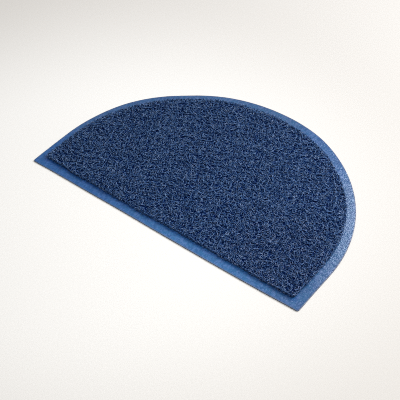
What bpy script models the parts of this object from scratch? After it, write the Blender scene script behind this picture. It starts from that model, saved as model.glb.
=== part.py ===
"""Half-round coil doormat, 60 x 40 cm.

Two pieces lie flat on the floor. The backing is one D-shaped vinyl sheet whose bare rim is the smooth
border. The coil pile is the field of looped vinyl strands on it, here a lumpy slab with a ragged rim.
Metres, +Z up. The origin is on the floor, under the middle of the mat's bounding box. The straight edge
runs along X on the -Y side, and the round edge is on the +Y side.
"""
import math
import random

import bmesh
import bpy
from mathutils import Vector, noise
from mathutils.geometry import delaunay_2d_cdt

# Driving sizes, in metres.
WIDTH = 0.600
DEPTH = 0.400
SHEET_THICK = 0.0020
SHEET_CORNER_RADIUS = 0.0038
SHEET_EDGE_ROUND = 0.0005
SEAT_GAP = 0.0003

PILE_TOP = 0.0086
PILE_CORNER_RADIUS = 0.0065
PILE_LUMP_HEIGHT = 0.0018
PILE_LUMP_SPACING = 0.0062
PILE_SWELL_HEIGHT = 0.0005
PILE_SWELL_SPACING = 0.0550

# How far the hand-cut round edge wanders off a true half circle, in millimetres outward, by the angle
# in degrees about the half circle's centre: 0 is the right end of the half circle, 180 the left end.
CUT_WANDER = (
    # angle, outward
    (0, 0.3),
    (18, -0.1),
    (38, -0.3),
    (52, 0.0),
    (62, 0.9),
    (71, 2.0),
    (82, 1.2),
    (93, 0.2),
    (112, 0.3),
    (121, -0.9),
    (130, -2.1),
    (141, 0.3),
    (153, 1.5),
    (166, -0.1),
    (180, -0.3),
)

# How far the straight front edge wanders off its line, in millimetres outward, by x in millimetres.
FRONT_WANDER = (
    # x, outward
    (-296, 0.4),
    (-245, -0.3),
    (-150, -0.1),
    (-85, -0.4),
    (0, 0.3),
    (85, 0.6),
    (165, 0.3),
    (235, -0.5),
    (296, -1.9),
)

# How far the cut sides have drifted off their lines where they meet the front edge, outward.
LEFT_SIDE_DRIFT = -0.0016
RIGHT_SIDE_DRIFT = 0.0006

# The bare border's width along the sides and the round edge, in millimetres, by the same angle.
# 0 holds for the whole straight right side and 180 for the whole straight left side.
BORDER_WIDTHS = (
    # angle, width
    (0, 19.4),
    (8, 19.4),
    (16, 18.0),
    (28, 16.8),
    (44, 17.4),
    (54, 18.8),
    (60, 18.3),
    (66, 20.2),
    (74, 21.0),
    (84, 20.3),
    (92, 19.2),
    (102, 19.5),
    (110, 18.1),
    (126, 16.5),
    (138, 16.4),
    (148, 17.2),
    (156, 16.5),
    (163, 15.5),
    (170, 14.6),
    (180, 14.4),
)

# How far the pile's foot lies behind the front edge's line, in millimetres, by x in millimetres.
FRONT_FOOT = (
    # x, distance behind the line
    (-280, 20.6),
    (-240, 19.8),
    (-212, 17.4),
    (-165, 18.6),
    (-130, 18.1),
    (-80, 18.4),
    (-48, 16.9),
    (0, 18.6),
    (60, 19.1),
    (100, 19.4),
    (135, 18.4),
    (170, 19.3),
    (205, 17.8),
    (240, 18.8),
    (280, 19.2),
)

# The pile's side, from its foot on the sheet to the edge of its top: how far each ring is drawn in
# from the foot, how high it stands as a share of the pile's height, and how much of the locks' depth
# shows in it.
RIM_RINGS = (
    # drawn in (m), height share, lock share
    (0.0000, 0.00, 0.7),
    (-0.0003, 0.42, 1.0),
    (0.0006, 0.78, 0.9),
    (0.0024, 0.96, 0.4),
)

SHEET_POINT_SPACING = 0.0100
LOCK_SPACING = 0.0040
LOCK_DEPTH = 0.0014
CORNER_STEPS = 4
TOP_POINT_SPACING = 0.0082
TOP_POINT_JITTER = 0.22
TOP_MARGIN = 0.0046
SEED = 11

SHEET_COLOUR = (0.075, 0.165, 0.345, 1.0)
PILE_COLOUR = (0.030, 0.058, 0.140, 1.0)
SHEET_ROUGHNESS = 0.45
PILE_ROUGHNESS = 0.35

HALF_WIDTH = WIDTH / 2
SIDE_LENGTH = DEPTH - HALF_WIDTH
MILLIMETRE = 0.001
HEX_ROW = math.sqrt(3) / 2
LUMP_LAYER_OFFSET = Vector((3.1, 7.7, 1.3))


def clear_scene():
    """Remove every object that is in the file."""
    for item in list(bpy.data.objects):
        bpy.data.objects.remove(item, do_unlink=True)


def row_slope(table, index):
    """Slope of a table of (place, value) rows at one row, from its two neighbours; level at the ends."""
    if index in (0, len(table) - 1):
        return 0.0
    before, after = table[index - 1], table[index + 1]
    return (after[1] - before[1]) / (after[0] - before[0])


def read_table(table, place):
    """Read a table of (place, value) rows along a smooth curve through its rows."""
    for index in range(len(table) - 1):
        (low_place, low), (high_place, high) = table[index : index + 2]
        if place <= high_place:
            break
    span = high_place - low_place
    share = max(0.0, min(1.0, (place - low_place) / span))
    rest = 1 - share
    low_pull = row_slope(table, index) * span * share * rest * rest
    high_pull = row_slope(table, index + 1) * span * share * share * rest
    return low * rest * rest * (1 + 2 * share) + high * share * share * (1 + 2 * rest) + low_pull - high_pull


def round_edge_radius(angle, bordered):
    """Distance of the round edge, or of the pile's foot, from the half circle's centre."""
    radius = HALF_WIDTH + read_table(CUT_WANDER, angle) * MILLIMETRE
    if bordered:
        radius -= read_table(BORDER_WIDTHS, angle) * MILLIMETRE
    return radius


def front_line(x, bordered):
    """Where the front edge, or the pile's foot along it, lies in y; the front edge's line is y = 0."""
    if bordered:
        return read_table(FRONT_FOOT, x / MILLIMETRE) * MILLIMETRE
    return -read_table(FRONT_WANDER, x / MILLIMETRE) * MILLIMETRE


def corner_arc(corner, side, radius):
    """Points of a rounded front corner, from the front edge to the side (side is +1 right, -1 left)."""
    centre = Vector((corner.x - side * radius, corner.y + radius))
    points = []
    for step in range(CORNER_STEPS + 1):
        turn = math.pi / 2 * step / CORNER_STEPS
        points.append(centre + Vector((side * math.sin(turn), -math.cos(turn))) * radius)
    return points


def straight_run(start, end, spacing):
    """Points between two ends, without the ends."""
    count = max(1, round((end - start).length / spacing))
    return [start.lerp(end, step / count) for step in range(1, count)]


def side_run(corner_end, spring, spacing):
    """Points up a side, from the end of its rounded corner to where the round edge springs."""
    points = straight_run(corner_end, spring, spacing)
    for point in points:
        left_to_go = (spring.y - point.y) / (spring.y - corner_end.y)
        point.x = spring.x + (corner_end.x - spring.x) * left_to_go**2
    return points


def half_round(spacing, bordered=False):
    """The D outline from above, anticlockwise from the front left corner.

    bordered gives the pile's foot, inside the bare border, instead of the sheet's own edge.
    """
    corner_radius = PILE_CORNER_RADIUS if bordered else SHEET_CORNER_RADIUS
    right_x = round_edge_radius(0, bordered)
    left_x = -round_edge_radius(180, bordered)
    left_end = left_x if bordered else left_x - LEFT_SIDE_DRIFT
    right_end = right_x if bordered else right_x + RIGHT_SIDE_DRIFT
    left_corner = corner_arc(Vector((left_end, front_line(left_end, bordered))), -1, corner_radius)
    right_corner = corner_arc(Vector((right_end, front_line(right_end, bordered))), 1, corner_radius)
    points = [left_corner[0]]
    for point in straight_run(left_corner[0], right_corner[0], spacing):
        points.append(Vector((point.x, front_line(point.x, bordered))))
    points += right_corner
    right_spring = Vector((right_x, SIDE_LENGTH))
    points += side_run(right_corner[-1], right_spring, spacing)
    steps = round(math.pi * right_x / spacing)
    for step in range(steps + 1):
        angle = 180 * step / steps
        radius = round_edge_radius(angle, bordered)
        turn = math.radians(angle)
        points.append(Vector((radius * math.cos(turn), SIDE_LENGTH + radius * math.sin(turn))))
    left_spring = points[-1]
    points += reversed(side_run(left_corner[-1], left_spring, spacing))
    points += left_corner[:0:-1]
    return points


def bounding_centre(points):
    """Middle of the points' bounding box."""
    low = Vector((min(p.x for p in points), min(p.y for p in points)))
    high = Vector((max(p.x for p in points), max(p.y for p in points)))
    return (low + high) / 2


def centred(points, centre):
    return [point - centre for point in points]


def outward_normals(points):
    """Unit normal at each point of a closed anticlockwise outline."""
    normals = []
    for index, point in enumerate(points):
        along = points[(index + 1) % len(points)] - points[index - 1]
        normals.append(Vector((along.y, -along.x)).normalized())
    return normals


def distance_inside(point, outline):
    """Distance from a point to the outline: positive inside, negative outside."""
    inside = False
    nearest = WIDTH
    for index, end in enumerate(outline):
        start = outline[index - 1]
        edge = end - start
        share = max(0.0, min(1.0, (point - start).dot(edge) / edge.length_squared))
        nearest = min(nearest, (point - start - edge * share).length)
        if (start.y > point.y) != (end.y > point.y):
            crossing = start.x + (point.y - start.y) / edge.y * edge.x
            if point.x < crossing:
                inside = not inside
    return nearest if inside else -nearest


def pile_height(x, y):
    """Height of the lumpy top above the floor."""
    lump = noise.noise(Vector((x, y, 0)) / PILE_LUMP_SPACING + LUMP_LAYER_OFFSET)
    swell = noise.noise(Vector((x, y, 0)) / PILE_SWELL_SPACING)
    return PILE_TOP + lump * PILE_LUMP_HEIGHT + swell * PILE_SWELL_HEIGHT


def make_material(name, colour, roughness):
    material = bpy.data.materials.new(name)
    material.use_nodes = True
    shader = material.node_tree.nodes["Principled BSDF"]
    shader.inputs["Base Color"].default_value = colour
    shader.inputs["Roughness"].default_value = roughness
    shader.inputs["Metallic"].default_value = 0.0
    return material


def finish_object(name, bm, material):
    """Turn a bmesh into a named object with its material and smooth shading."""
    bmesh.ops.triangulate(bm, faces=bm.faces[:])
    bmesh.ops.recalc_face_normals(bm, faces=bm.faces[:])
    mesh = bpy.data.meshes.new(name)
    bm.to_mesh(mesh)
    bm.free()
    mesh.materials.append(material)
    mesh.shade_smooth()
    mesh.set_sharp_from_angle(angle=math.radians(40))
    item = bpy.data.objects.new(name, mesh)
    bpy.context.scene.collection.objects.link(item)
    return item


def make_backing(outline):
    """The D-shaped sheet, flat on the floor, with its upper edge a little rounded."""
    bm = bmesh.new()
    foot = [bm.verts.new((point.x, point.y, 0)) for point in outline]
    base = bm.faces.new(foot)
    raised = bmesh.ops.extrude_face_region(bm, geom=[base])
    top_verts = [part for part in raised["geom"] if isinstance(part, bmesh.types.BMVert)]
    bmesh.ops.translate(bm, verts=top_verts, vec=(0, 0, SHEET_THICK))
    top_edges = [edge for edge in bm.edges if all(vert in top_verts for vert in edge.verts)]
    bmesh.ops.bevel(
        bm,
        geom=top_edges,
        affect="EDGES",
        offset=SHEET_EDGE_ROUND,
        segments=2,
        profile=0.5,
        material=-1,
    )
    return finish_object("backing", bm, make_material("sheet vinyl", SHEET_COLOUR, SHEET_ROUGHNESS))


def rim_ring(foot, normals, locks, ring):
    """One ring of the pile's side, as points with their heights."""
    drawn_in, height_share, lock_share = ring
    base = SHEET_THICK + SEAT_GAP
    points = []
    for point, normal, lock in zip(foot, normals, locks):
        place = point + normal * (lock * lock_share - drawn_in)
        height = base + (pile_height(place.x, place.y) - base) * height_share
        points.append(Vector((place.x, place.y, height)))
    return points


def top_points(edge, rng):
    """Points spread over the top in staggered rows, each moved a little, clear of the top's edge."""
    points = []
    low_y = min(point.y for point in edge)
    rows = math.ceil((max(point.y for point in edge) - low_y) / (TOP_POINT_SPACING * HEX_ROW))
    columns = math.ceil(WIDTH / TOP_POINT_SPACING)
    shift = TOP_POINT_SPACING * TOP_POINT_JITTER
    for row in range(rows):
        for column in range(columns):
            stagger = 0.5 * (row % 2)
            x = -HALF_WIDTH + (column + stagger) * TOP_POINT_SPACING + rng.uniform(-shift, shift)
            y = low_y + row * TOP_POINT_SPACING * HEX_ROW + rng.uniform(-shift, shift)
            point = Vector((x, y))
            if distance_inside(point, edge) > TOP_MARGIN:
                points.append(point)
    return points


def make_coil_pile(foot):
    """The strand field as one lumpy slab, just over the sheet, with locks of strand round its rim."""
    rng = random.Random(SEED)
    normals = outward_normals(foot)
    locks = []
    for index in range(len(foot)):
        swing = 1 if index % 2 else -1
        locks.append(LOCK_DEPTH * (swing * rng.uniform(0.3, 1.0) + rng.uniform(-0.3, 0.3)))
    rings = [rim_ring(foot, normals, locks, ring) for ring in RIM_RINGS]
    edge = [point.xy for point in rings[-1]]
    inner = top_points(edge, rng)
    loop = [(index, (index + 1) % len(edge)) for index in range(len(edge))]
    spread, _, faces, _, _, _ = delaunay_2d_cdt(edge + inner, loop, [], 1, 1e-6)

    bm = bmesh.new()
    station = bm.verts.layers.int.new("station")
    top = [bm.verts.new((point.x, point.y, pile_height(point.x, point.y))) for point in spread]
    for face in faces:
        bm.faces.new([top[index] for index in face])
    for index, point in enumerate(rings[-1]):
        top[index].co = point
        top[index][station] = index
    border = [candidate for candidate in bm.edges if candidate.is_boundary]
    for ring in reversed(rings[:-1]):
        drawn_down = bmesh.ops.extrude_edge_only(bm, edges=border)
        for part in drawn_down["geom"]:
            if isinstance(part, bmesh.types.BMVert):
                part.co = ring[part[station]]
        border = [part for part in drawn_down["geom"] if isinstance(part, bmesh.types.BMEdge)]
        border = [candidate for candidate in border if candidate.is_boundary]
    bmesh.ops.contextual_create(bm, geom=border)
    return finish_object("coil_pile", bm, make_material("strand vinyl", PILE_COLOUR, PILE_ROUGHNESS))


def build():
    clear_scene()
    sheet_edge = half_round(SHEET_POINT_SPACING)
    centre = bounding_centre(sheet_edge)
    make_backing(centred(sheet_edge, centre))
    make_coil_pile(centred(half_round(LOCK_SPACING, bordered=True), centre))


build()
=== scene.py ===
"""Looks of the half-round coil doormat: its vinyl sheet with a bare rim, and the looped strands on it.

Metres, +Z up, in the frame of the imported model: the floor is z = 0, the straight edge lies on the -Y
side and the round edge on the +Y side. Each piece has its place in its mesh.
"""
import math

import bmesh
import bpy
import numpy as np
from mathutils import Matrix, Vector, noise
from mathutils.geometry import delaunay_2d_cdt


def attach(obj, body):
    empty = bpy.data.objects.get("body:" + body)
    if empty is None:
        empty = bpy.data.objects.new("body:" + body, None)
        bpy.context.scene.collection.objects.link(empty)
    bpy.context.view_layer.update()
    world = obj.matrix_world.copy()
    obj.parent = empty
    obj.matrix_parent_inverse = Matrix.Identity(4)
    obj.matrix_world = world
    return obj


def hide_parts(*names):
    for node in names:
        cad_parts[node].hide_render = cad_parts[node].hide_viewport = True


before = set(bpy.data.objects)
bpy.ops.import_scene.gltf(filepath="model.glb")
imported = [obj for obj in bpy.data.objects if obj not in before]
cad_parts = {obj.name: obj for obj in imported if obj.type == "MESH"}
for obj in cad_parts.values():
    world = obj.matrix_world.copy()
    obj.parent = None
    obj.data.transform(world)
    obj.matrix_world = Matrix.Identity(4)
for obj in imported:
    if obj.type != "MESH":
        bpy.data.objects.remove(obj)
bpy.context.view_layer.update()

# The camera: where its axis meets the floor, and how it looks at that point.
AIM = Vector((0.0147, -0.0902, 0.0))
VIEW_AZIMUTH = 37.75
VIEW_ELEVATION = 44.74
VIEW_DISTANCE = 1.8052
LENS_MM = 89.38
PIXEL_FILTER = 1.0

# Light.
SKY_COLOUR = (1.0, 0.99, 0.975, 1.0)
SKY_STRENGTH = 0.35
LAMPS = (
    # name, place (m), size (m), power (W), colour
    ("key", (1.47, 2.20, 2.10), 2.40, 136.0, (1.0, 1.0, 1.0)),
    ("top", (0.08, -0.25, 1.10), 0.60, 3.0, (1.0, 1.0, 1.0)),
    ("sheen", (-0.174, 1.040, 1.140), 0.16, 2.35, (0.66, 0.80, 1.0)),
)

# The floor, which reaches so far to each side. Its light falloff is painted on it: away from its brightest
# spot, between two distances, its colour is multiplied by the painted shade.
FLOOR_HALF = 6.0
FLOOR_COLOUR = (0.863, 0.845, 0.812, 1.0)
FLOOR_PAINTED_SHADE = (0.780, 0.762, 0.745, 1.0)
FLOOR_LIGHT_SPOT = (-0.18, -0.26, 0.0)
FLOOR_LIGHT_REACH = (0.25, 0.75)
FLOOR_SHEEN_SPACING = 0.35

# Roughness: its least, and what the finish's own pattern adds to it.
FLOOR_ROUGHNESS = (0.55, 0.10)
SHEET_ROUGHNESS = (0.205, 0.10)
STRAND_ROUGHNESS = (0.26, 0.22)

# All of the mat is one kind of vinyl.
VINYL_IOR = 1.5

# The backing sheet's outline: each edge longer than those at its rounded corners is cut so many times.
EDGE_CUTS = 3
CORNER_EDGE = 0.0020

# Its upright wall, and the lip over it: each ring is drawn in from the last and raised by so much.
SHEET_WALL = 0.0018
LIP_RINGS = (
    # drawn in (m), raised (m)
    (0.00012, 0.00014),
    (0.00030, 0.00006),
    (0.00060, 0.0),
    (0.00080, 0.0),
    (0.00090, 0.0),
)
LIP_SHARP_ANGLE = 50

# The bare border inside the lip, which is slightly uneven: its points, and how high and wide its waves are.
BORDER_POINT_SPACING = 0.0035
BORDER_POINT_JITTER = 0.15
BORDER_REACH = (0.0045, 0.0260)
BORDER_SEED = 3
SHEET_RELIEF = 0.00012
SHEET_RELIEF_SPACING = 0.011

# The sheet's mottle, and the strokes that strands left when they were melted flat, which run two ways
# (degrees from X). The blue is deep where both patterns are low, and pale where they are high.
MOTTLE_SPACING = 0.0090
STROKE_SPACING = 0.0032
STROKE_WAYS = (12, 98)
STROKE_STRETCH = (1.0, 0.62, 1.0)
STROKE_LEVELS = (0.34, 0.66)
SECOND_WAY_SHARE = 0.60
STROKE_SHARE = 0.55
PALE_LEVELS = (0.30, 0.70)
SHEET_DEEP = (0.025, 0.105, 0.277, 1.0)
SHEET_PALE = (0.072, 0.170, 0.393, 1.0)

# Its fine grain is mostly the strokes, with so much of the mottle.
GRAIN_MOTTLE_SHARE = 0.25
SHEET_GRAIN_DEPTH = 0.00016

# Duller patches on the sheet, no stronger than this share.
PATCH_SPACING = 0.0075
PATCH_WAY = 40
PATCH_LEVELS = (0.44, 0.60)
PATCH_SHARE = 0.60
PATCH_DULL = (0.026, 0.137, 0.322, 1.0)

# Along its lip the sheet is painted paler and greyer, a painted sheen where the lip catches the light, and
# its cut wall is painted dark as shade, which ends between these two heights.
LIP_WIDTH = 0.0028
LIP_SHEEN_SHARE = 0.70
LIP_PAINTED_SHEEN = (0.138, 0.168, 0.256, 1.0)
CUT_HEIGHTS = (0.00160, 0.00182)
CUT_PAINTED_SHADE = (0.054, 0.088, 0.140, 1.0)

# Light and shade are painted over the border: about one spot on the front border it is painted brighter.
# Away from there, between two distances, the sheet is painted duller, as shade.
BORDER_LIGHT_SPOT = (0.10, -0.22, 0.0)
BORDER_LIGHT_REACH = (0.04, 0.27)

# That painted shade turns from blue to grey between these two places, along y and by this share along x.
GREY_REACH = (-0.25, -0.08)
GREY_SLANT = 0.25
BLUE_PAINTED_SHADE = (0.50, 0.66, 0.80, 1.0)
GREY_PAINTED_SHADE = (0.81, 0.67, 0.67, 1.0)

# The far rim is painted a little brighter about one spot, as far as this, as painted light.
FAR_SPOT = (-0.04, 0.20, 0.0)
FAR_REACH = (0.05, 0.20)
FAR_PAINTED_LIGHT = (1.25, 1.14, 1.06, 1.0)

# The upper right rim is painted a brighter blue about one spot, as far as this, as painted light.
ARC_SPOT = (0.135, 0.168, 0.0)
ARC_REACH = (0.05, 0.12)
ARC_PAINTED_LIGHT = (0.98, 1.08, 1.16, 1.0)

# The front border is painted a deeper blue close to the pile, as painted shadow at its foot: from so far
# to so far inside its outer edge, and between these two y places it ends.
FOOT_SHADOW_BAND = (0.010, 0.018)
FOOT_SHADOW_REACH = (-0.185, -0.165)
FOOT_PAINTED_SHADOW = (0.62, 0.79, 1.0, 1.0)

# The strands: a small section with this many corners, swept along loops, and the height that none passes.
STRAND_RADIUS = 0.00064
SECTION_CORNERS = 3
LOOP_POINTS = 11
STRAND_TOP = 0.0096
STRAND_SEED = 5
STRAND_PIECES = 5

# Each strand lies in a lane of overlapping loops. The lanes run two ways (degrees from X) and sway. They lie
# a pitch apart, at heights that take turns, and each loop takes its strand on by the advance.
LANE_WAYS = (24, 114)
LANE_SWAYS = (
    # how far to each side (m), over what length (m)
    (0.0070, 0.120),
    (0.0030, 0.047),
)
LANE_PITCH = 0.0087
LANE_HEIGHTS = (0.0068, 0.0058, 0.0071, 0.0062)
LOOP_ADVANCE = 0.0045

# How the loops of a lane vary: over how many loops, and between which two values (radians or metres).
LOOP_TURNS = (1.5, -0.9, 0.9)
LOOP_RADII = (0.6, 0.0023, 0.0043)
LOOP_LEANS = (0.8, 0.15, 0.95)
LOOP_FACINGS = (1.2, 0.0, 2 * math.pi)
LANE_SLIPS = (1.0, -0.0010, 0.0010)
LANE_WANDERS = (1.3, -0.0018, 0.0018)
HEIGHT_WANDERS = (1.0, -0.0009, 0.0009)

# How high the pile stands as a share of its full height, by the distance inside its foot.
RIM_DISTANCES = (0.0, 0.0008, 0.0024, 0.0050)
RIM_SHARES = (0.90, 0.96, 1.0, 1.0)

# A strand that would stand out past the foot is turned back by so much of what it overshoots.
RIM_TURN_BACK = 1.2

# Upright loops that close the pile's side: how far inside the foot each row runs, and how far a loop
# takes it on.
RIM_SEED = 11
RIM_ROWS = (0.0005, 0.0020)
RIM_ADVANCE = 0.0068

# How they vary: over how many loops, and between which two values (radians or metres).
RIM_TURNS = (1.0, -0.6, 0.6)
RIM_RADII = (0.6, 0.0016, 0.0042)
RIM_SLIPS = (1.2, -0.0034, 0.0034)
RIM_WANDERS = (0.7, -0.0014, 0.0014)
RIM_LOOP_FEET = (0.7, 0.0028, 0.0046)
RIM_LOOP_TOPS = (0.7, 0.0064, 0.0088)

# The bed of matted strands under the loops, coloured dark as painted shade deep in the pile: its share of
# the pile's height, how far it is drawn in, its lumps, and the height over the foot up to which nothing is
# moved.
BED_SHARE = 0.22
BED_INSET = 0.0026
BED_LUMP = 0.0005
BED_LUMP_SPACING = 0.0040
BED_FOOT = BED_LUMP / 4

# The blues of loops and bed: dark, middle and two light ones. The bed's are far darker, as painted shade.
LOOP_BLUES = (
    (0.004, 0.039, 0.176, 1.0),
    (0.040, 0.104, 0.264, 1.0),
    ((0.187, 0.251, 0.437, 1.0), (0.177, 0.256, 0.429, 1.0)),
)
BED_BLUES = (
    (0.0003, 0.012, 0.094, 1.0),
    (0.0004, 0.017, 0.118, 1.0),
    ((0.0005, 0.022, 0.146, 1.0), (0.0005, 0.025, 0.127, 1.0)),
)

# They shift from strand to strand and are flecked along it. Between these levels of that pattern dark goes
# over to middle, and middle to light.
SHIFT_SPACING = 0.0046
FLECK_SPACING = 0.0017
FLECK_SHARE = 0.40
MIDDLE_LEVELS = (0.34, 0.52)
LIGHT_LEVELS = (0.50, 0.66)
STRAND_GRAIN_DEPTH = 0.00012

# The two light blues lie in patches.
LIGHT_PATCH_SPACING = 0.0060
LIGHT_PATCH_WAY = 40
LIGHT_PATCH_LEVELS = (0.42, 0.58)

# Between these two heights the strands' blue goes from deep to full, as painted shade lower down: in the
# pile and at its rim.
LOOP_SHADE = (0.0036, 0.0080)
RIM_SHADE = (0.0008, 0.0056)

# Between these two x places the strands' blue goes from dull to full, as painted shade towards the left.
SIDE_REACH = (-0.28, 0.28)
SIDE_PAINTED_SHADE = (0.80, 0.82, 0.82, 1.0)

# Near the front right corner the strands are greyer about one spot, as far as this.
GREYER_SPOT = (0.235, -0.130, 0.0)
GREYER_REACH = (0.05, 0.17)
GREYER_TINT = (1.0, 0.91, 0.90, 1.0)

# The strands' gloss is tinted by the vinyl's own blue. The matted bed has little of it.
GLOSS_TINT = (0.55, 0.78, 1.0, 1.0)
STRAND_GLOSS = 0.60
BED_GLOSS = 0.10

# Points closer than this (m) are one point, a face whose normal has a z under this is underside, and so
# many places at once are measured against an outline.
SAME_POINT = 1e-6
POINTS_DOWN = -0.999
PLACES_AT_ONCE = 4000

# How the border is cut into small faces: only inside its edge, with points told apart down to this (m).
CUT_INSIDE = 1
CUT_FINEST = 1e-7


class Socket:
    """One output of a material's nodes. Sums with it add Math nodes."""

    def __init__(self, finish, output):
        self.finish = finish
        self.output = output

    def sum(self, operation, first, second):
        return self.finish.add("ShaderNodeMath", {"operation": operation}, {0: first, 1: second})

    def __add__(self, other):
        return self.sum("ADD", self, other)

    def __radd__(self, other):
        return self.sum("ADD", other, self)

    def __sub__(self, other):
        return self.sum("SUBTRACT", self, other)

    def __rsub__(self, other):
        return self.sum("SUBTRACT", other, self)

    def __mul__(self, other):
        return self.sum("MULTIPLY", self, other)

    def __rmul__(self, other):
        return self.sum("MULTIPLY", other, self)


class Finish:
    """A material of procedural nodes round one Principled shader."""

    def __init__(self, name, **constants):
        self.material = bpy.data.materials.new(name)
        self.material.use_nodes = True
        self.tree = self.material.node_tree
        self.shader = self.tree.nodes["Principled BSDF"]
        for socket, value in constants.items():
            self.shader.inputs[socket.replace("_", " ")].default_value = value

    def add(self, kind, settings=None, sockets=None, output=0):
        """Add a node: settings first, then its sockets' values or links. Returns one of its outputs."""
        node = self.tree.nodes.new(kind)
        for name, value in (settings or {}).items():
            setattr(node, name, value)
        for key, value in (sockets or {}).items():
            self.feed(node.inputs[key], value)
        return Socket(self, node.outputs[output])

    def feed(self, socket, value):
        if isinstance(value, Socket):
            self.tree.links.new(value.output, socket)
        else:
            socket.default_value = value

    def place(self):
        return self.add("ShaderNodeTexCoord", output="Object")

    def axis(self, place, name):
        """One coordinate of a place: X, Y or Z."""
        return self.add("ShaderNodeSeparateXYZ", {}, {"Vector": place}, output=name)

    def turned(self, place, degrees, stretch=(1.0, 1.0, 1.0)):
        """Coordinates turned about Z and stretched, for a pattern that runs at an angle."""
        sockets = {"Vector": place, "Rotation": (0.0, 0.0, math.radians(degrees)), "Scale": stretch}
        return self.add("ShaderNodeMapping", {}, sockets)

    def grain(self, place, spacing, detail=2.0, roughness=0.5):
        """Soft noise from 0 to 1 with lumps of about the given spacing."""
        sockets = {"Vector": place, "Scale": 1 / spacing, "Detail": detail, "Roughness": roughness}
        return self.add("ShaderNodeTexNoise", {}, sockets)

    def between(self, value, low, high):
        """0 at low and under, 1 at high and over, smooth between."""
        settings = {"interpolation_type": "SMOOTHSTEP"}
        return self.add("ShaderNodeMapRange", settings, {"Value": value, "From Min": low, "From Max": high})

    def away(self, place, spot, reach):
        """0 about a fixed spot, 1 away from it, smooth between the reach's two distances."""
        sockets = {0: place, 1: spot}
        distance = self.add("ShaderNodeVectorMath", {"operation": "DISTANCE"}, sockets, output="Value")
        return self.between(distance, *reach)

    def blend(self, share, first, second):
        """Mix two colours: first where share is 0, second where it is 1."""
        settings = {"data_type": "RGBA"}
        return self.add("ShaderNodeMix", settings, {0: share, 6: first, 7: second}, output=2)

    def tint(self, share, colour, by):
        """Multiply a colour by another, by no more than the share."""
        settings = {"data_type": "RGBA", "blend_type": "MULTIPLY"}
        return self.add("ShaderNodeMix", settings, {0: share, 6: colour, 7: by}, output=2)

    def bump(self, height, depth):
        """A bump from a height of 0 to 1 that stands for depth metres."""
        return self.add("ShaderNodeBump", {}, {"Height": height, "Distance": depth, "Strength": 1.0})

    def show(self, **values):
        """Feed the shader's sockets that vary over the surface."""
        for socket, value in values.items():
            self.feed(self.shader.inputs[socket.replace("_", " ")], value)
        return self.material


def joined(share, first, second):
    """Two patterns as one, with so much of the second."""
    return (1 - share) * first + share * second


def uneven(roughness, pattern):
    """Roughness from its least value and what a pattern of 0 to 1 adds."""
    least, added = roughness
    return least + added * pattern


def sheet_vinyl():
    """Soft pressed vinyl: blue, mottled where strands were melted flat, with a fine pressed grain. Light and
    shade are painted on it: a sheen along the lip, shade on the cut wall and at the pile's foot, and
    brighter and duller places over the border.
    """
    finish = Finish("sheet vinyl", IOR=VINYL_IOR)
    place = finish.place()
    inside = finish.add("ShaderNodeAttribute", {"attribute_name": "inside"}, output="Fac")
    mottle = finish.grain(place, MOTTLE_SPACING, detail=3.0)
    strokes = []
    for way in STROKE_WAYS:
        stroke = finish.grain(finish.turned(place, way, STROKE_STRETCH), STROKE_SPACING, detail=1.0)
        strokes.append(finish.between(stroke, *STROKE_LEVELS))
    melted = joined(SECOND_WAY_SHARE, *strokes)
    pale = finish.between(joined(STROKE_SHARE, mottle, melted), *PALE_LEVELS)
    colour = finish.blend(pale, SHEET_DEEP, SHEET_PALE)
    patches = finish.grain(finish.turned(place, PATCH_WAY), PATCH_SPACING, detail=1.0)
    colour = finish.blend(PATCH_SHARE * finish.between(patches, *PATCH_LEVELS), colour, PATCH_DULL)
    # Painted sheen: the lip is paler and greyer where it catches the light.
    lip = 1 - finish.between(inside, 0.0, LIP_WIDTH)
    colour = finish.blend(LIP_SHEEN_SHARE * lip, colour, LIP_PAINTED_SHEEN)
    # Painted light and shade: the border is duller away from one spot on its front.
    along = finish.axis(place, "X")
    back = finish.axis(place, "Y")
    greyer = finish.between(back + GREY_SLANT * along, *GREY_REACH)
    painted_shade = finish.blend(greyer, BLUE_PAINTED_SHADE, GREY_PAINTED_SHADE)
    colour = finish.tint(finish.away(place, BORDER_LIGHT_SPOT, BORDER_LIGHT_REACH), colour, painted_shade)
    # Painted light: brighter about a spot on the far rim.
    colour = finish.tint(1 - finish.away(place, FAR_SPOT, FAR_REACH), colour, FAR_PAINTED_LIGHT)
    # Painted light: a brighter blue about a spot on the upper right rim.
    colour = finish.tint(1 - finish.away(place, ARC_SPOT, ARC_REACH), colour, ARC_PAINTED_LIGHT)
    # Painted shadow: a deeper blue on the front border at the pile's foot.
    foot_shadow = finish.between(inside, *FOOT_SHADOW_BAND) * (1 - finish.between(back, *FOOT_SHADOW_REACH))
    colour = finish.tint(foot_shadow, colour, FOOT_PAINTED_SHADOW)
    # Painted shade: the cut wall is dark.
    colour = finish.blend(finish.between(finish.axis(place, "Z"), *CUT_HEIGHTS), CUT_PAINTED_SHADE, colour)
    return finish.show(
        Base_Color=colour,
        Roughness=uneven(SHEET_ROUGHNESS, mottle),
        Normal=finish.bump(joined(GRAIN_MOTTLE_SHARE, melted, mottle), SHEET_GRAIN_DEPTH),
    )


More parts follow.
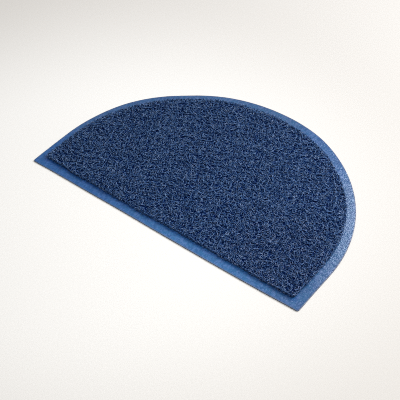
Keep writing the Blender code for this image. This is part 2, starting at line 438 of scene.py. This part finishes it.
def strand_vinyl(name, gloss, shade, dark, middle, lights):
    """Extruded vinyl strand: glossy, in blues that shift from strand to strand, with painted shade lower
    down and towards the left.
    """
    finish = Finish(name, IOR=VINYL_IOR, Specular_IOR_Level=gloss, Specular_Tint=GLOSS_TINT)
    place = finish.place()
    shift = finish.grain(place, SHIFT_SPACING, detail=1.0)
    fleck = finish.grain(place, FLECK_SPACING, detail=1.0)
    pattern = joined(FLECK_SHARE, shift, fleck)
    patches = finish.grain(finish.turned(place, LIGHT_PATCH_WAY), LIGHT_PATCH_SPACING, detail=1.0)
    light = finish.blend(finish.between(patches, *LIGHT_PATCH_LEVELS), *lights)
    colour = finish.blend(finish.between(pattern, *MIDDLE_LEVELS), dark, middle)
    colour = finish.blend(finish.between(pattern, *LIGHT_LEVELS), colour, light)
    # Painted shade: a deeper blue lower down.
    colour = finish.blend(finish.between(finish.axis(place, "Z"), *shade), dark, colour)
    # Painted shade: duller towards the left.
    colour = finish.tint(1 - finish.between(finish.axis(place, "X"), *SIDE_REACH), colour, SIDE_PAINTED_SHADE)
    colour = finish.tint(1 - finish.away(place, GREYER_SPOT, GREYER_REACH), colour, GREYER_TINT)
    return finish.show(
        Base_Color=colour,
        Roughness=uneven(STRAND_ROUGHNESS, fleck),
        Normal=finish.bump(fleck, STRAND_GRAIN_DEPTH),
    )


def floor_finish():
    """Plain pale floor with a painted pool of light, duller away from its brightest spot, and a slightly
    uneven sheen.
    """
    finish = Finish("pale floor")
    place = finish.place()
    sheen = finish.grain(place, FLOOR_SHEEN_SPACING, detail=2.0)
    # Painted light: the floor is brightest at one spot and painted duller away from it.
    return finish.show(
        Base_Color=finish.tint(finish.away(place, FLOOR_LIGHT_SPOT, FLOOR_LIGHT_REACH), FLOOR_COLOUR, FLOOR_PAINTED_SHADE),
        Roughness=uneven(FLOOR_ROUGHNESS, sheen),
    )


def link(thing):
    """Put an object into the scene."""
    bpy.context.scene.collection.objects.link(thing)


def mesh_from(bm, name):
    """A named mesh from a bmesh that is done."""
    mesh = bpy.data.meshes.new(name)
    bm.to_mesh(mesh)
    bm.free()
    return mesh


def merged_copy(node):
    """A bmesh of a CAD node's mesh with its loose triangles joined."""
    bm = bmesh.new()
    bm.from_mesh(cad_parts[node].data)
    bmesh.ops.remove_doubles(bm, verts=bm.verts[:], dist=SAME_POINT)
    return bm


def underside_outline(node):
    """The outline of a CAD node's flat underside, anticlockwise from above, and its height."""
    bm = merged_copy(node)
    flat = [face for face in bm.faces if face.normal.z < POINTS_DOWN]
    whole = bmesh.ops.dissolve_faces(bm, faces=flat)["region"][0]
    points = [loop.vert.co.copy() for loop in whole.loops]
    bm.free()
    points.reverse()
    return [point.xy for point in points], points[0].z


def finish_piece(name, mesh, material):
    """A finished mesh as a piece of the mat, on its one body."""
    mesh.materials.clear()
    mesh.materials.append(material)
    piece = bpy.data.objects.new(name, mesh)
    link(piece)
    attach(piece, "root")
    return piece


def border_points(outline):
    """Staggered places over the bare border, each moved a little."""
    rng = np.random.default_rng(BORDER_SEED)
    low = np.min(outline, axis=0)
    high = np.max(outline, axis=0)
    across = np.arange(low[0], high[0], BORDER_POINT_SPACING)
    along = np.arange(low[1], high[1], BORDER_POINT_SPACING)
    x, y = np.meshgrid(across, along)
    x[1::2] += BORDER_POINT_SPACING / 2
    places = np.column_stack([x.ravel(), y.ravel()])
    places += rng.uniform(-1, 1, places.shape) * BORDER_POINT_SPACING * BORDER_POINT_JITTER
    distance, _ = nearest_on_outline(places, outline)
    nearest, farthest = BORDER_REACH
    return [Vector(place) for place in places[(distance > nearest) & (distance < farthest)]]


def spread_top(bm, top, outline):
    """Cut the sheet's one top face into small ones over the border, so that it can be uneven."""
    ring = [loop.vert for loop in top.loops]
    height = ring[0].co.z
    corners = [vert.co.xy for vert in ring]
    edges = [(index, (index + 1) % len(ring)) for index in range(len(ring))]
    points = corners + border_points(outline)
    spread, _, faces, _, _, _ = delaunay_2d_cdt(points, edges, [], CUT_INSIDE, CUT_FINEST)
    bmesh.ops.delete(bm, geom=[top], context="FACES_ONLY")
    verts = ring + [bm.verts.new((point.x, point.y, height)) for point in spread[len(ring) :]]
    for face in faces:
        bm.faces.new([verts[index] for index in face])


def make_backing_sheet(outline, material):
    """The D-shaped sheet: a thin cut edge, a rounded lip and a slightly uneven bare border."""
    bm = bmesh.new()
    base = bm.faces.new([bm.verts.new((point.x, point.y, 0.0)) for point in outline])
    long_edges = [edge for edge in base.edges if edge.calc_length() > CORNER_EDGE]
    bmesh.ops.subdivide_edges(bm, edges=long_edges, cuts=EDGE_CUTS)
    raised = bmesh.ops.extrude_face_region(bm, geom=[base])["geom"]
    top = next(part for part in raised if isinstance(part, bmesh.types.BMFace))
    bmesh.ops.translate(bm, verts=top.verts[:], vec=(0, 0, SHEET_WALL))
    bm.normal_update()
    if top.normal.z < 0:
        bmesh.ops.reverse_faces(bm, faces=[top])
    for drawn_in, rise in LIP_RINGS:
        bmesh.ops.inset_region(bm, faces=[top], thickness=drawn_in, depth=rise, use_even_offset=True)
    spread_top(bm, top, outline)
    for vert in bm.verts:
        if vert.co.z > SHEET_WALL / 2:
            vert.co.z += SHEET_RELIEF * noise.noise(vert.co / SHEET_RELIEF_SPACING)
    bmesh.ops.recalc_face_normals(bm, faces=bm.faces[:])
    inside, _ = nearest_on_outline(np.array([vert.co.xy for vert in bm.verts]), outline)
    layer = bm.verts.layers.float.new("inside")
    for vert, distance in zip(bm.verts, inside):
        vert[layer] = distance
    mesh = mesh_from(bm, "backing_sheet")
    mesh.shade_smooth()
    mesh.set_sharp_from_angle(angle=math.radians(LIP_SHARP_ANGLE))
    return finish_piece("backing_sheet", mesh, material)


def make_coil_bed(base, material):
    """The matted bottom of the strands: the pile's own form, pressed low and lumpy."""
    bm = merged_copy("coil_pile")
    bm.normal_update()
    for vert in bm.verts:
        side = Vector((vert.normal.x, vert.normal.y, 0.0))
        vert.co -= side * BED_INSET
    bmesh.ops.subdivide_edges(bm, edges=bm.edges[:], cuts=1, use_grid_fill=True)
    for vert in bm.verts:
        lump = noise.noise(vert.co / BED_LUMP_SPACING) * BED_LUMP
        above = vert.co.z - base
        if above > BED_FOOT:
            vert.co.z = base + above * BED_SHARE + BED_LUMP + lump
    mesh = mesh_from(bm, "coil_bed")
    mesh.shade_smooth()
    return finish_piece("coil_bed", mesh, material)


def drift(rng, count, loops, low, high):
    """A smooth random course of count values between two limits, with a new level each so many loops."""
    every = loops * LOOP_POINTS
    levels = rng.uniform(low, high, int(count / every) + 3)
    at = np.arange(count) / every + rng.uniform()
    before = at.astype(int)
    share = at - before
    share = share * share * (3 - 2 * share)
    return levels[before] * (1 - share) + levels[before + 1] * share


def lane_course(rng, lane_y, left, right, height):
    """Centre line of one strand: leaning loops that advance along X, from left to right."""
    count = int((right - left) / LOOP_ADVANCE * LOOP_POINTS)
    step = np.arange(count)
    hand = rng.choice((-1, 1))
    turn = hand * 2 * math.pi * step / LOOP_POINTS + rng.uniform(0, 2 * math.pi)
    turn += drift(rng, count, *LOOP_TURNS)
    radius = drift(rng, count, *LOOP_RADII)
    lean = drift(rng, count, *LOOP_LEANS)
    facing = drift(rng, count, *LOOP_FACINGS)
    level = radius * np.cos(turn)
    tilted = radius * np.sin(turn)
    x = left + step / LOOP_POINTS * LOOP_ADVANCE + drift(rng, count, *LANE_SLIPS)
    y = lane_y + drift(rng, count, *LANE_WANDERS)
    z = height + drift(rng, count, *HEIGHT_WANDERS)
    x += level * np.cos(facing) - tilted * np.cos(lean) * np.sin(facing)
    y += level * np.sin(facing) + tilted * np.cos(lean) * np.cos(facing)
    z += tilted * np.sin(lean)
    return np.column_stack([x, y, z])


def nearest_on_outline(places, outline):
    """For each place, its distance inside the outline (negative outside) and the way in from the edge."""
    ends = np.array(outline)
    starts = np.roll(ends, 1, axis=0)
    edges = ends - starts
    squares = (edges**2).sum(1)
    ways_in = np.column_stack([-edges[:, 1], edges[:, 0]]) / np.sqrt(squares)[:, None]
    distances = np.empty(len(places))
    ways = np.empty((len(places), 2))
    for first in range(0, len(places), PLACES_AT_ONCE):
        part = places[first : first + PLACES_AT_ONCE]
        offsets = part[:, None] - starts[None]
        share = np.clip((offsets * edges).sum(2) / squares, 0, 1)
        gaps = offsets - share[..., None] * edges
        lengths = np.sqrt((gaps**2).sum(2))
        best = lengths.argmin(1)
        row = np.arange(len(part))
        side = np.sign((gaps[row, best] * ways_in[best]).sum(1))
        distances[first : first + len(part)] = lengths[row, best] * np.where(side < 0, -1, 1)
        ways[first : first + len(part)] = ways_in[best]
    return distances, ways


def fit_to_pile(course, outline, base):
    """Keep a strand within the pile: pushed in at the rim, lower there, and never under the sheet's top."""
    distance, way_in = nearest_on_outline(course[:, :2], outline)
    short = np.clip(STRAND_RADIUS - distance, 0, None) * RIM_TURN_BACK
    course[:, :2] += way_in * short[:, None]
    share = np.interp(np.maximum(distance, 0), RIM_DISTANCES, RIM_SHARES)
    low, high = base + STRAND_RADIUS, STRAND_TOP - STRAND_RADIUS
    course[:, 2] = low + (np.clip(course[:, 2], low, high) - low) * share
    return course


def lane_spans(lane_y, outline):
    """Where a lane along X lies inside the outline: its first and last x."""
    crossings = []
    for index, end in enumerate(outline):
        start = outline[index - 1]
        if (start.y > lane_y) != (end.y > lane_y):
            crossings.append(start.x + (lane_y - start.y) / (end.y - start.y) * (end.x - start.x))
    return min(crossings), max(crossings)


def make_section():
    """The strand's own cross section, as a small closed curve."""
    curve = bpy.data.curves.new("strand_section", "CURVE")
    corners = curve.splines.new("POLY")
    corners.points.add(SECTION_CORNERS - 1)
    corners.use_cyclic_u = True
    for index, point in enumerate(corners.points):
        turn = 2 * math.pi * index / SECTION_CORNERS
        point.co = (STRAND_RADIUS * math.cos(turn), STRAND_RADIUS * math.sin(turn), 0.0, 1.0)
    return bpy.data.objects.new("strand_section", curve)


def make_strands(name, courses, section, material):
    """Strands swept along their centre lines, as one joined mesh."""
    curve = bpy.data.curves.new(name, "CURVE")
    curve.dimensions = "3D"
    curve.bevel_mode = "OBJECT"
    curve.bevel_object = section
    curve.use_fill_caps = True
    for course in courses:
        strand = curve.splines.new("POLY")
        strand.points.add(len(course) - 1)
        strand.points.foreach_set("co", np.column_stack([course, np.ones(len(course))]).ravel())
    sweep = bpy.data.objects.new(name + "_sweep", curve)
    link(sweep)
    bpy.context.view_layer.update()
    swept = bpy.data.meshes.new_from_object(sweep.evaluated_get(bpy.context.evaluated_depsgraph_get()))
    bpy.data.objects.remove(sweep, do_unlink=True)
    bm = bmesh.new()
    bm.from_mesh(swept)
    bmesh.ops.remove_doubles(bm, verts=bm.verts[:], dist=SAME_POINT)
    bmesh.ops.recalc_face_normals(bm, faces=bm.faces[:])
    bm.to_mesh(swept)
    bm.free()
    swept.name = name
    swept.shade_smooth()
    return finish_piece(name, swept, material)


def rim_course(rng, outline, inset):
    """Centre line of one strand of upright loops that runs round just inside the pile's foot."""
    ends = np.array(outline)
    run = np.concatenate([[0.0], np.cumsum(np.linalg.norm(np.roll(ends, -1, axis=0) - ends, axis=1))])
    closed = np.vstack([ends, ends[:1]])
    count = int(run[-1] / RIM_ADVANCE * LOOP_POINTS)
    step = np.arange(count)
    turn = 2 * math.pi * step / LOOP_POINTS + drift(rng, count, *RIM_TURNS)
    radius = drift(rng, count, *RIM_RADII)
    slip = drift(rng, count, *RIM_SLIPS)
    place = step / count * run[-1] + slip + radius * np.cos(turn)
    spot = np.column_stack([np.interp(place, run, closed[:, axis], period=run[-1]) for axis in (0, 1)])
    distance, way_in = nearest_on_outline(spot, outline)
    wander = drift(rng, count, *RIM_WANDERS)
    spot += way_in * (inset + wander - distance)[:, None]
    foot = drift(rng, count, *RIM_LOOP_FEET)
    top = drift(rng, count, *RIM_LOOP_TOPS)
    return np.column_stack([spot, (foot + top + (top - foot) * np.sin(turn)) / 2])


def sway(along):
    """How far a lane lies to its side at a place along it, the same for all lanes of one way."""
    return sum(reach * np.sin(2 * math.pi * along / length) for reach, length in LANE_SWAYS)


def lane_courses(rng, outline, way):
    """Centre lines of the strands whose lanes run one way across the outline, side by side."""
    turn = np.array(Matrix.Rotation(math.radians(way), 2))
    places = np.array(outline) @ turn
    places[:, 1] -= sway(places[:, 0])
    outline = [Vector(place) for place in places]
    low_y = min(point.y for point in outline)
    high_y = max(point.y for point in outline)
    lanes = int((high_y - low_y) / LANE_PITCH)
    courses = []
    for lane in range(lanes):
        lane_y = low_y + (lane + 0.5) * (high_y - low_y) / lanes
        height = LANE_HEIGHTS[lane % len(LANE_HEIGHTS)]
        course = lane_course(rng, lane_y, *lane_spans(lane_y, outline), height)
        course[:, 1] += sway(course[:, 0])
        course[:, :2] = course[:, :2] @ turn.T
        courses.append(course)
    return courses


def coil_courses(outline, base):
    """Every strand's centre line, with all of them inside the pile."""
    rng = np.random.default_rng(STRAND_SEED)
    courses = [course for way in LANE_WAYS for course in lane_courses(rng, outline, way)]
    return [fit_to_pile(course, outline, base) for course in courses]


def rim_courses(outline):
    """The centre lines of the upright loops round the pile's side."""
    rng = np.random.default_rng(RIM_SEED)
    return [rim_course(rng, outline, inset) for inset in RIM_ROWS]


def split_evenly(courses, parts):
    """Runs of neighbouring lanes with about the same number of points each."""
    total = sum(len(course) for course in courses)
    groups = [[] for _ in range(parts)]
    done = 0
    for course in courses:
        groups[min(parts - 1, int(done * parts / total))].append(course)
        done += len(course)
    return groups


def light_scene():
    """A soft sky and the lamps, each of which shines at the mat's middle."""
    world = bpy.data.worlds.new("soft sky")
    bpy.context.scene.world = world
    world.use_nodes = True
    background = world.node_tree.nodes["Background"]
    background.inputs["Color"].default_value = SKY_COLOUR
    background.inputs["Strength"].default_value = SKY_STRENGTH
    for name, place, size, power, colour in LAMPS:
        light = bpy.data.lights.new(name, "AREA")
        light.shape = "DISK"
        light.size = size
        light.energy = power
        light.color = colour
        lamp = bpy.data.objects.new(name, light)
        lamp.location = place
        lamp.rotation_euler = (-Vector(place)).to_track_quat("-Z", "Y").to_euler()
        link(lamp)
    bpy.context.scene.view_settings.view_transform = "Standard"
    bpy.context.scene.cycles.use_denoising = False
    bpy.context.scene.cycles.filter_width = PIXEL_FILTER


def lay_floor():
    """The floor under the mat, which isn't part of it."""
    bm = bmesh.new()
    bmesh.ops.create_grid(bm, x_segments=1, y_segments=1, size=FLOOR_HALF)
    floor = bpy.data.objects.new("floor", mesh_from(bm, "floor"))
    floor.data.materials.append(floor_finish())
    link(floor)


def place_camera():
    """The camera at the photograph's own place and angle."""
    camera = bpy.data.objects.new("camera", bpy.data.cameras.new("camera"))
    camera.data.lens = LENS_MM
    turn, rise = math.radians(VIEW_AZIMUTH), math.radians(VIEW_ELEVATION)
    back = Vector((math.sin(turn) * math.cos(rise), -math.cos(turn) * math.cos(rise), math.sin(rise)))
    camera.location = AIM + back * VIEW_DISTANCE
    camera.rotation_euler = (-back).to_track_quat("-Z", "Y").to_euler()
    link(camera)
    bpy.context.scene.camera = camera


sheet_outline, _ = underside_outline("backing")
pile_outline, pile_base = underside_outline("coil_pile")

backing_sheet = make_backing_sheet(sheet_outline, sheet_vinyl())
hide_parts("backing")

# The bed is coloured very dark, as painted shade deep in the pile.
bed_vinyl = strand_vinyl("matted vinyl", BED_GLOSS, LOOP_SHADE, *BED_BLUES)
loop_vinyl = strand_vinyl("strand vinyl", STRAND_GLOSS, LOOP_SHADE, *LOOP_BLUES)
rim_vinyl = strand_vinyl("rim vinyl", STRAND_GLOSS, RIM_SHADE, *LOOP_BLUES)

section = make_section()
coil_pieces = [make_coil_bed(pile_base, bed_vinyl)]
lanes = split_evenly(coil_courses(pile_outline, pile_base), STRAND_PIECES)
for number, courses in enumerate(lanes, start=1):
    coil_pieces.append(make_strands(f"coil_strands_{number}", courses, section, loop_vinyl))
coil_pieces.append(make_strands("coil_rim", rim_courses(pile_outline), section, rim_vinyl))
bpy.data.objects.remove(section)
for piece in coil_pieces:
    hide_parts("coil_pile")

light_scene()
lay_floor()
place_camera()
